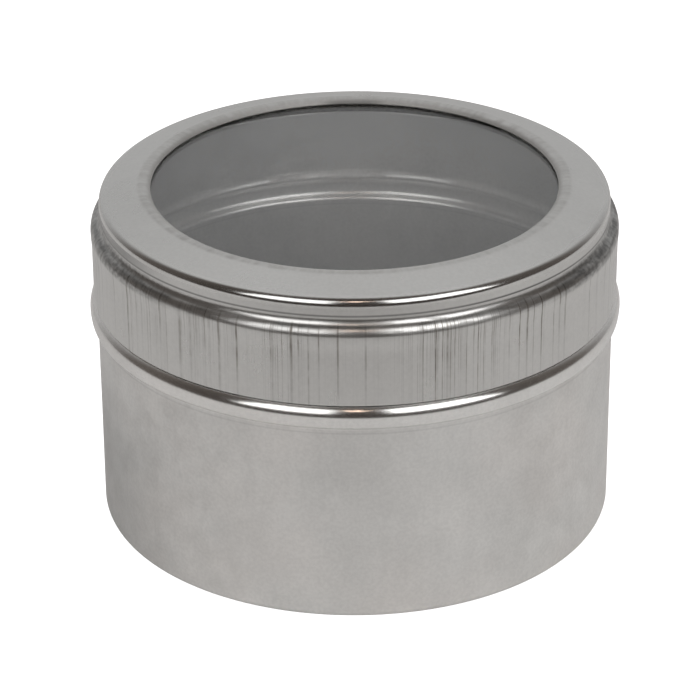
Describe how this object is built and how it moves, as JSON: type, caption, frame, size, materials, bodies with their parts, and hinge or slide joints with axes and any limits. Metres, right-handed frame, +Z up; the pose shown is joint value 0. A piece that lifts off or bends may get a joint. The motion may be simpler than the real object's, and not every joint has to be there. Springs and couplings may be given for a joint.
{
  "type": "canister with window lid",
  "caption": "Low round steel canister with a beaded neck and a stepped push-on lid that has a flush clear window.",
  "frame": {"origin": "centre of the base, on the surface that the canister stands on", "axes": "+Z up along the axis of the round canister, towards the lid; X and Y lie in the base"},
  "size_m": [0.1028, 0.1028, 0.0678],
  "materials": {
    "body_steel": "satin",
    "lid_steel": "satin with drawing marks",
    "clear_window": "clear acrylic",
    "ring_steel": "satin"
  },
  "bodies": {
    "canister": {"canister_body": "body_steel"},
    "lid": {"lid_shell": "lid_steel", "window_disc": "clear_window", "window_retaining_ring": "ring_steel"}
  },
  "joints": [
    {"name": "lid_pull", "type": "slide", "parent": "canister", "child": "lid", "axis": [0, 0, 1], "range_m": [0, 0.05]}
  ]
}
